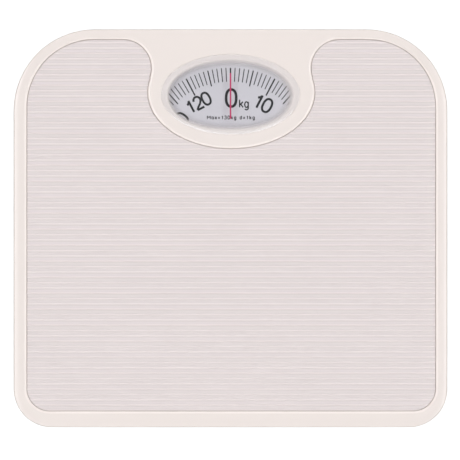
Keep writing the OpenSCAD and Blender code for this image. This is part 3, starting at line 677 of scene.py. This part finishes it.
def coat_platform(obj, floor_z):
    """Painted shade and a painted highlight: the pocket's floor takes a darker enamel, painted shade that
    darkens the groove round the mat, and the pocket's crowned edge a lighter one, a painted highlight.
    """
    obj.data.materials.append(FINISH["painted_groove_shade"])
    obj.data.materials.append(FINISH["painted_highlight_enamel"])
    # material 1 is the pocket floor's painted shade, material 2 the pocket edge's painted highlight
    painted_groove_shade, light = 1, 2
    near_floor, edge_depth, past_lens, rim_in = 0.3, 1.2, 1.1, 6.2
    steepest, flattest = 0.8, 0.975
    rim = body_outline(rim_in)
    for face in obj.data.polygons:
        x, y, z = (v / MM for v in face.center)
        if (x / LENS_A) ** 2 + ((y - LENS_Y) / LENS_B) ** 2 < past_lens or face.normal.z < 0:
            continue
        if abs(z - floor_z) < near_floor:
            face.material_index = painted_groove_shade
        elif z > TOP - edge_depth and steepest < face.normal.z < flattest and inside((x, y), rim):
            face.material_index = light


def cut_notch(obj):
    """The finger notch in the rear skirt, cut with a box."""
    s = Shape()
    x, r = NOTCH_HALF_W, NOTCH_R
    z0, z1 = SKIRT_Z - NOTCH_OVER, TOP - NOTCH_TOP
    prof = [(-x, z0), (x, z0)] + arc(x - r, z1 - r, r, 0, 90, 6) + arc(-x + r, z1 - r, r, 90, 180, 6)
    a = s.ring([(px, HALF_D - NOTCH_DEEP, pz) for px, pz in prof])
    b = s.ring([(px, HALF_D + NOTCH_OVER, pz) for px, pz in prof])
    s.band(a, b)
    s.faces.append(tuple(reversed(a)))
    s.faces.append(tuple(b))
    cutter = s.object("notch_cutter", FINISH["white_enamel"], smooth=None)
    mod = obj.modifiers.new("notch", "BOOLEAN")
    mod.operation, mod.object, mod.solver = "DIFFERENCE", cutter, "EXACT"
    apply_modifiers(obj)
    bpy.data.objects.remove(cutter)


def apply_modifiers(obj):
    """Makes what an object's modifiers show its own mesh."""
    deps = bpy.context.evaluated_depsgraph_get()
    deps.update()
    mesh = bpy.data.meshes.new_from_object(obj.evaluated_get(deps))
    obj.modifiers.clear()
    obj.data = mesh


platform = make_platform()
cut_notch(platform)
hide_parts("platform_cover")
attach(platform, "platform")


# ---------------------------------------------------------------- foot mat
def rib_profile():
    """One pitch of the mat's section: (distance along Y, height over the slab)."""
    out = []
    for place, width, height, n in RIBS:
        for i in range(n + 1):
            t = i / n - 0.5
            out.append((place * RIB_PITCH + width * t, height * math.cos(math.pi * t) ** 2))
    return out


def crossings(half, y):
    """Where the mat's right half begins and ends at y."""
    xs = []
    for (x0, y0), (x1, y1) in zip(half, half[1:] + [half[0]]):
        if (y0 > y) != (y1 > y):
            xs.append(x0 + (x1 - x0) * (y - y0) / (y1 - y0))
    return min(xs), max(xs)


def mat_rows(y_lo, y_hi):
    """The mat's rows from front to rear: (Y, height over the slab)."""
    rows = [(y_lo, 0.0), (y_lo + FLAT_ROW, 0.0), (y_hi - FLAT_ROW, 0.0), (y_hi, 0.0)]
    k = math.floor((y_lo - RIB_SHIFT) / RIB_PITCH)
    while k * RIB_PITCH + RIB_SHIFT < y_hi + RIB_PITCH:
        for dy, h in rib_profile():
            y = k * RIB_PITCH + RIB_SHIFT + dy
            if y_lo + RIBS_FROM < y < y_hi - RIBS_FROM:
                rows.append((y, h))
        k += 1
    return sorted(rows)


def make_mat():
    """The ribbed mat, made in two halves of rows that run from the middle or the bowl to the side."""
    g = -MAT_GAP
    half = mat_half(g, 2)
    half_line = half + [(0.0, half[-1][1])]
    slab = TOP - MAT_SLAB
    rows = mat_rows(min(y for _, y in half) + MARGIN, max(y for _, y in half) - MARGIN)
    s = Shape()
    for side in (1, -1):
        before = None
        for y, h in rows:
            a, b = crossings(half_line, y)
            ring = []
            for t in ROW:
                # the ribs end at the mat's edge, and go on across its middle
                low = t == 1.0 or (t == 0.0 and a >= 0.01)
                ring.append((MAT_X + side * (a + (b - a) * t), y, slab + (0.0 if low else h)))
            ids = s.ring(ring)
            if before:
                s.band(before, ids, closed=False)
            before = ids
    # the slab's edge: a small round, then straight down
    side, turn = mat_outline(g + 0.1), 0.15
    s.loft([at(mat_outline(g - MARGIN), slab), at(side, slab - turn), at(side, TOP - POCKET)])
    return s.object("ribbed_mat", FINISH["mat_rubber"], weld=0.0005, smooth=60.0)


mat = make_mat()
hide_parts("foot_mat")
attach(mat, "platform")


# ---------------------------------------------------------------- window
def make_lens():
    """The clear lens: a low dome on the seat, with a tinted rim."""
    s = Shape()
    rings = [at(lens_outline(g), TOP - d) for g, d in LENS_EDGE]
    for i in range(1, DOME_RINGS):
        k = 1 - i / DOME_RINGS
        dome = closed_oval((LENS_A - DOME_IN) * k, (LENS_B - DOME_IN) * k)
        rings.append(at(dome, TOP - DOME_TOP - DOME_DROP * k * k))
    ids = s.loft(rings)
    s.faces.append(tuple(ids[-1]))
    # underside: follows the dished seat, then flat
    ids = s.loft([at(seat_outline(g), TOP - d) for g, d in LENS_UNDER])
    s.faces.append(tuple(reversed(ids[-1])))
    obj = s.object("window_dome", FINISH["lens_plastic"], weld=0.001, smooth=50.0)
    obj.data.materials.append(FINISH["lens_rim"])
    a, b = LENS_A - SEAT_X * RIM_IN, LENS_B - SEAT_Y * RIM_IN
    for face in obj.data.polygons:
        x, y = face.center.x / MM, face.center.y / MM - LENS_Y
        rim = (x / a) ** 2 + (y / b) ** 2 > 1
        face.material_index = int(rim and face.center.z > (TOP - RIM_DEEP) * MM)
    return obj


lens = make_lens()
lens.visible_shadow = False
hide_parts("window_lens")
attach(lens, "platform")


def make_lens_edge():
    """The milky band just inside the seat, through which the dial shows softly: the lens's blurred edge, with
    painted light over the shade at the dial's edge.
    """
    s = Shape()
    levels, before = [], None
    for i in range(BAND_STEPS + 1):
        k = i / BAND_STEPS
        ring = []
        for j in range(OVAL_POINTS):
            t = 2 * math.pi * j / OVAL_POINTS
            # the band is wider at the rear, where the platform's edge shades the dial most
            add = BAND_REAR * max(0.0, math.sin(t)) ** 1.5 + BAND_RIGHT * max(0.0, math.cos(t)) ** 3
            wide = BAND_FRONT + add + BAND_LEFT * max(0.0, -math.cos(t)) ** 2
            ring.append((*seat_point(BAND_FROM + wide * k, t), TOP - BAND_DEEP - BAND_FALL * k))
        levels += [(1 - k) ** 2] * OVAL_POINTS
        ids = s.ring(ring)
        if before:
            s.band(before, ids)
        before = ids
    obj = s.object("window_soft_edge", FINISH["frosted"], weld=0)
    fade = obj.data.attributes.new("fade", "FLOAT", "POINT")
    fade.data.foreach_set("value", levels)
    return obj


soft_edge = make_lens_edge()
soft_edge.visible_shadow = False
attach(soft_edge, "platform")


def make_nibs():
    """Two tiny moulding marks at the lens's front and rear."""
    s = Shape()
    for mid in (LENS_Y + LENS_B - NIB_IN, LENS_Y - LENS_B + NIB_IN):
        foot = [(x * NIB_X, mid + y * NIB_Y) for x, y in arc(0, 0, 1.0, 0, 345, 23)]
        top = [(x * NIB_TAPER, mid + (y - mid) * NIB_TAPER) for x, y in foot]
        a, b = s.ring(at(foot, TOP - NIB_FOOT)), s.ring(at(top, TOP - NIB_TOP))
        s.band(a, b)
        s.faces.append(tuple(b))
    return s.object("window_nibs", FINISH["white_enamel"], weld=0)


nibs = make_nibs()
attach(nibs, "platform")


# ---------------------------------------------------------------- dial print
def polar(radius, degrees):
    """A point of the dial: degrees clockwise from the rear, seen from above."""
    a = math.radians(degrees)
    return (radius * math.sin(a), DIAL_Y + radius * math.cos(a))


def stroke_loop(points, width):
    """Left and right edges of a line drawn with a broad pen."""
    left, right = [], []
    n = len(points)
    for i, (x, y) in enumerate(points):
        a, b = points[max(i - 1, 0)], points[min(i + 1, n - 1)]
        along = Vector((b[0] - a[0], b[1] - a[1])).normalized()
        nx, ny = -along.y * width / 2, along.x * width / 2
        left.append((x + nx, y + ny))
        right.append((x - nx, y - ny))
    return left, right


def bow(cx, cy, a, b, t0, t1, n=20, power=1.0):
    """Part of an ellipse, from t0 to t1 degrees. A power below 1 makes it squarer."""
    out = []
    for i in range(n + 1):
        t = math.radians(t0 + (t1 - t0) * i / n)
        c, si = math.cos(t), math.sin(t)
        out.append((cx + a * math.copysign(abs(c) ** power, c), cy + b * math.copysign(abs(si) ** power, si)))
    return out


# Each sign is drawn in a box 1 wide and 1 high, centred on 0, as pen strokes.
FIGURES = {
    "M": [
        [(-0.78, -0.5), (-0.78, 0.5)],
        [(-0.7, 0.45), (0.0, -0.1), (0.7, 0.45)],
        [(0.78, 0.5), (0.78, -0.5)],
    ],
    "a": [bow(0, -0.14, 0.42, 0.36, 0, 360, 20), [(0.42, 0.22), (0.42, -0.5)]],
    "x": [[(-0.42, 0.22), (0.42, -0.5)], [(0.42, 0.22), (-0.42, -0.5)]],
    "=": [[(-0.45, 0.06), (0.45, 0.06)], [(-0.45, -0.26), (0.45, -0.26)]],
    "k": [[(-0.4, 0.5), (-0.4, -0.5)], [(0.4, 0.22), (-0.4, -0.2)], [(-0.14, -0.08), (0.44, -0.5)]],
    "g": [
        bow(0, -0.14, 0.42, 0.36, 0, 360, 20),
        [(0.42, 0.22), (0.42, -0.55)] + bow(0, -0.55, 0.42, 0.27, 0, -150, 10),
    ],
    "d": [bow(0, -0.14, 0.42, 0.36, 0, 360, 20), [(0.42, 0.5), (0.42, -0.5)]],
    "0": [bow(0, 0, 0.5, 0.5, 90, 450, 40, 0.86)],
    "1": [[(0.14, 0.5), (0.14, -0.5)], [(0.14, 0.46), (0.02, 0.33), (-0.14, 0.25), (-0.26, 0.22)]],
    "2": [
        bow(0, 0.21, 0.46, 0.29, 175, -38, 18)
        + [(0.18, -0.12), (-0.22, -0.30), (-0.42, -0.42), (-0.48, -0.5)],
        [(-0.5, -0.5), (0.5, -0.5)],
    ],
    "3": [
        bow(-0.02, 0.25, 0.42, 0.25, 165, -90, 16),
        bow(-0.02, -0.24, 0.48, 0.26, 90, -165, 18),
    ],
    "4": [[(0.2, -0.5), (0.2, 0.5)], [(0.2, 0.5), (-0.5, -0.2)], [(-0.5, -0.22), (0.5, -0.22)]],
    "5": [
        [(0.42, 0.5), (-0.3, 0.5)],
        [(-0.3, 0.5), (-0.42, -0.02)],
        [(-0.42, 0.0)] + bow(-0.02, -0.18, 0.48, 0.32, 140, -160, 20),
    ],
    "6": [
        bow(0, -0.18, 0.46, 0.32, 0, 360, 30),
        bow(0.04, 0.0, 0.5, 0.5, 62, 190, 18),
    ],
    "7": [[(-0.5, 0.5), (0.46, 0.5)], [(0.46, 0.5), (0.12, 0.08), (-0.08, -0.25), (-0.16, -0.5)]],
    "8": [
        bow(0, 0.25, 0.38, 0.25, 0, 360, 28),
        bow(0, -0.24, 0.48, 0.27, 0, 360, 28),
    ],
    "9": [
        bow(0, 0.18, 0.46, 0.32, 0, 360, 30),
        bow(-0.04, 0.0, 0.5, 0.5, 242, 370, 18),
    ],
}

# widths of the signs that aren't as wide as the others
ADVANCE = {"M": 1.35, " ": 0.75, "x": 0.95, "k": 0.95}


def draw_signs(s, text, centre, degrees, size, z, nudge=0.0):
    """Signs in a row whose middle is at centre, turned clockwise. Size is (height, width, step, pen)."""
    height, width, step, pen = size
    turn = math.radians(-degrees)
    cx, cy = centre
    edge = nudge - step * sum(ADVANCE.get(sign, 1.0) for sign in text) / 2
    for sign in text:
        shift = edge + step * ADVANCE.get(sign, 1.0) / 2
        edge += step * ADVANCE.get(sign, 1.0)
        for stroke in FIGURES.get(sign, ()):
            points = []
            for x, y in stroke:
                px, py = shift + x * (width - pen), y * (height - pen)
                points.append(
                    (
                        cx + px * math.cos(turn) - py * math.sin(turn),
                        cy + px * math.sin(turn) + py * math.cos(turn),
                    )
                )
            closed = math.dist(points[0], points[-1]) < 1e-6
            if closed:
                # the ends meet, so each of them has the other's neighbour beside it
                left, right = stroke_loop([points[-2], *points[:-1], points[0]], pen)
                left, right = left[1:-1], right[1:-1]
            else:
                left, right = stroke_loop(points, pen)
            # each stroke lies a little higher than the one before, so that no two share a plane
            a, b = s.ring(at(left, z)), s.ring(at(right, z))
            s.band(b, a, closed)
            z += INK_STEP


def draw_mark(s, degrees, inner, wide, z):
    """One straight mark of the scale."""
    a = math.radians(degrees)
    dx, dy = math.cos(a) * wide / 2, -math.sin(a) * wide / 2
    (px, py), (qx, qy) = polar(inner, degrees), polar(MARK_END, degrees)
    corners = [(px + dx, py + dy), (qx + dx, qy + dy), (qx - dx, qy - dy), (px - dx, py - dy)]
    s.faces.append(tuple(s.ring(at(corners, z))))


def make_print():
    """The scale's marks and figures, from 0 round to the capacity."""
    s = Shape()
    z = DIAL_TOP + INK_UP
    for kg in range(CAPACITY):
        mark = MARK_TEN if kg % 10 == 0 else MARK_FIVE if kg % 5 == 0 else MARK_ONE
        draw_mark(s, kg * 360 / CAPACITY, *mark, z)
    for kg in range(0, CAPACITY, 10):
        degrees = kg * 360 / CAPACITY
        radius, nudge, size = FIGURE_ROWS.get(kg) or (TWO_FIGURES if kg < 100 else THREE_FIGURES)
        draw_signs(s, str(kg), polar(radius, degrees), degrees, size, z, nudge)
    return s.object("dial_scale_print", FINISH["print"], weld=0, smooth=None)


def make_words():
    """The unit, and a small plain line of text."""
    found = []
    for name, text, centre, size in (
        ("dial_unit_print", "kg", (8.85, 82.1), (5.9, 3.6, 3.5, 0.85)),
        ("dial_range_print", f"Max={CAPACITY}kg d=1kg", (0.3, 72.9), (2.7, 1.8, 2.14, 0.52)),
    ):
        s = Shape()
        draw_signs(s, text, centre, 0, size, DIAL_TOP + INK_UP)
        found.append(s.object(name, FINISH["print"], weld=0, smooth=None))
    return found


for piece in [make_print(), *make_words()]:
    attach(piece, "dial")


# ---------------------------------------------------------------- springs
def coil(r, z0, z1, turns, a0, n):
    """Points of a helix round the Z axis, from height z0 to z1, starting at a0 degrees."""
    return [
        (x, y, z0 + (z1 - z0) * i / n)
        for i, (x, y) in enumerate(arc(0, 0, r, a0, a0 + 360 * turns, n))
    ]


def make_wire(name, path, r, centre, sides):
    """A round spring wire along a path, which is given from the spring's own axis."""
    points = [Vector(p) + Vector(centre) for p in path]
    ahead = [b - a for a, b in zip([points[0], *points], [*points[1:], points[-1]])]
    side = Vector((1, 0, 0))
    rings = []
    for p, step in zip(points, ahead):
        step.normalize()
        side = (side - step * side.dot(step)).normalized()
        up = step.cross(side)
        section = arc(0, 0, r, 0, 360 - 360 / sides, sides - 1)
        rings.append([p + side * x + up * y for x, y in section])
    s = Shape()
    ids = s.loft(rings)
    s.faces += [tuple(reversed(ids[0])), tuple(ids[-1])]
    return s.object(name, FINISH["spring_steel"], weld=0, smooth=50.0)


def make_main_spring():
    """The tension spring between its two seats, built at rest as a fixed coil; the real one stretches as the
    spring plate sinks.
    """
    low, high = box_mm("main_spring")
    x, y = (low[0] + high[0]) / 2, (low[1] + high[1]) / 2
    z0, z1 = low[2] + MAIN_WIRE, high[2] - MAIN_WIRE - MAIN_PLAY
    path = coil(MAIN_COIL, z0, z1, MAIN_TURNS, 0, 230)
    spring = make_wire("main_spring_coil", path, MAIN_WIRE - WIRE_SPARE, (x, y, 0), 14)
    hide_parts("main_spring")
    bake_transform(spring)


def make_retaining_spring(node):
    """A small tension spring, built as a fixed coil, with its lower loop at the base and its upper one at the
    platform.
    """
    low, high = box_mm(node)
    x, y = (low[0] + high[0]) / 2, (low[1] + high[1]) / 2
    r = HOLD_COIL
    loop_low = [(0, b, LOOP_LOW + a) for a, b in arc(0, 0, r, 240, 30, 14)]
    loop_high = [(0, b, LOOP_HIGH + a) for a, b in arc(0, 0, r, 150, -60, 14)]
    path = loop_low + coil(r, HOLD_LOW, HOLD_HIGH, HOLD_TURNS, 90, 288) + loop_high
    spring = make_wire(node.replace("spring", "coil"), path, HOLD_WIRE, (x, y, 0), 7)
    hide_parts(node)
    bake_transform(spring)


make_main_spring()
for end in ("front", "rear"):
    for hand in ("left", "right"):
        make_retaining_spring(f"retaining_spring_{end}_{hand}")


# ---------------------------------------------------------------- carried-over nodes
def soften(slots, width):
    """Rounds the sharp edges of the pressed and moulded nodes in these slots a little."""
    for n, obj in NODES.items():
        if SLOT[n] not in slots:
            continue
        weld = obj.modifiers.new("weld", "WELD")
        weld.merge_threshold = 1e-6
        flat = obj.modifiers.new("flat", "DECIMATE")
        flat.decimate_type, flat.angle_limit = "DISSOLVE", math.radians(2)
        mod = obj.modifiers.new("soft", "BEVEL")
        mod.width, mod.segments = width * MM, 2
        mod.limit_method, mod.angle_limit = "ANGLE", math.radians(30)


soften(("zinc_steel", "cast_alloy"), 0.22)
soften(("wheel_plastic", "foot_rubber"), 0.35)


# ---------------------------------------------------------------- stage
def make_floor():
    """A plain white floor, a hair below the feet."""
    half, drop = 3.0, 0.00005
    mesh = bpy.data.meshes.new("floor")
    corners = [(x * half, y * half, -drop) for x, y in ((-1, -1), (1, -1), (1, 1), (-1, 1))]
    mesh.from_pydata(corners, [], [(0, 1, 2, 3)])
    g = Graph("floor_paper")
    drift = g.ramp(g.noise(6.0, 2.0), 0.3, 0.7, 0.0, 1.0)
    white = g.mix(drift, (0.955, 0.955, 0.955), (0.965, 0.965, 0.965))
    # white to the camera, also further out where the lamps don't reach, but it throws less light back up
    seen = g.add("ShaderNodeLightPath").outputs["Is Camera Ray"]
    surface = g.surface(g.mix(seen, (0.4, 0.4, 0.4), white), 0.9)
    far = g.add("ShaderNodeVectorMath", operation="LENGTH")
    g.link(g.coord.outputs["Object"], far.inputs[0])
    glow = g.math("MULTIPLY", seen, g.ramp(far.outputs["Value"], 0.5, 1.6, 0.45, 1.0))
    surface.node.inputs["Emission Color"].default_value = (1, 1, 1, 1)
    g.link(glow, surface.node.inputs["Emission Strength"])
    # from below it is left out, so that the underside can be looked at
    through = g.add("ShaderNodeBsdfTransparent")
    mesh.materials.append(g.finish(g.blend(g.front_side(), through.outputs[0], surface)))
    floor = bpy.data.objects.new("floor", mesh)
    bpy.context.scene.collection.objects.link(floor)


make_floor()

# the studio is white to the camera, but only adds a little even light
world = bpy.data.worlds.new("studio")
bpy.context.scene.world = world
world.use_nodes = True
back = world.node_tree.nodes["Background"]
back.inputs["Color"].default_value = (1.0, 1.0, 1.0, 1.0)
path = world.node_tree.nodes.new("ShaderNodeLightPath")
amount = world.node_tree.nodes.new("ShaderNodeMapRange")
amount.inputs["To Min"].default_value, amount.inputs["To Max"].default_value = 0.14, 1.0
world.node_tree.links.new(path.outputs["Is Camera Ray"], amount.inputs["Value"])
world.node_tree.links.new(amount.outputs["Result"], back.inputs["Strength"])


def soft_box(name, place, power):
    """A long rectangular light that looks at the scale."""
    light = bpy.data.lights.new(name, "AREA")
    light.shape, light.size, light.size_y = "RECTANGLE", 1.5, 0.4
    light.energy, light.color = power, (1, 1, 1)
    obj = bpy.data.objects.new(name, light)
    bpy.context.scene.collection.objects.link(obj)
    obj.location = place
    obj.rotation_euler = (Vector((0, 0, 0.03)) - Vector(place)).to_track_quat("-Z", "Y").to_euler()


# four soft boxes round the camera, about 38 degrees off the vertical
BOX_REACH, BOX_HEIGHT = 0.95, 1.22
for k, (name, power) in enumerate((("right", 7.3), ("rear", 7.3), ("left", 7.4), ("front", 7.3))):
    turn = math.radians(90 * k)
    soft_box("soft_box_" + name, (BOX_REACH * math.cos(turn), BOX_REACH * math.sin(turn), BOX_HEIGHT), power)

# The camera looks straight down, a hair beside the middle. Its frame is 300.6 mm wide at the platform's top.
CAMERA_X, CAMERA_Y, CAMERA_H = -0.00033, -0.00111, 1.002
cam_data = bpy.data.cameras.new("camera")
cam_data.lens, cam_data.sensor_width = 120.0, 36.0
cam_data.clip_start, cam_data.clip_end = 0.05, 20.0
cam = bpy.data.objects.new("camera", cam_data)
bpy.context.scene.collection.objects.link(cam)
cam.location = (CAMERA_X, CAMERA_Y, TOP * MM + CAMERA_H)
cam.rotation_euler = (0.0, 0.0, 0.0)
bpy.context.scene.camera = cam
bpy.context.scene.view_settings.view_transform = "Standard"

bpy.context.view_layer.update()
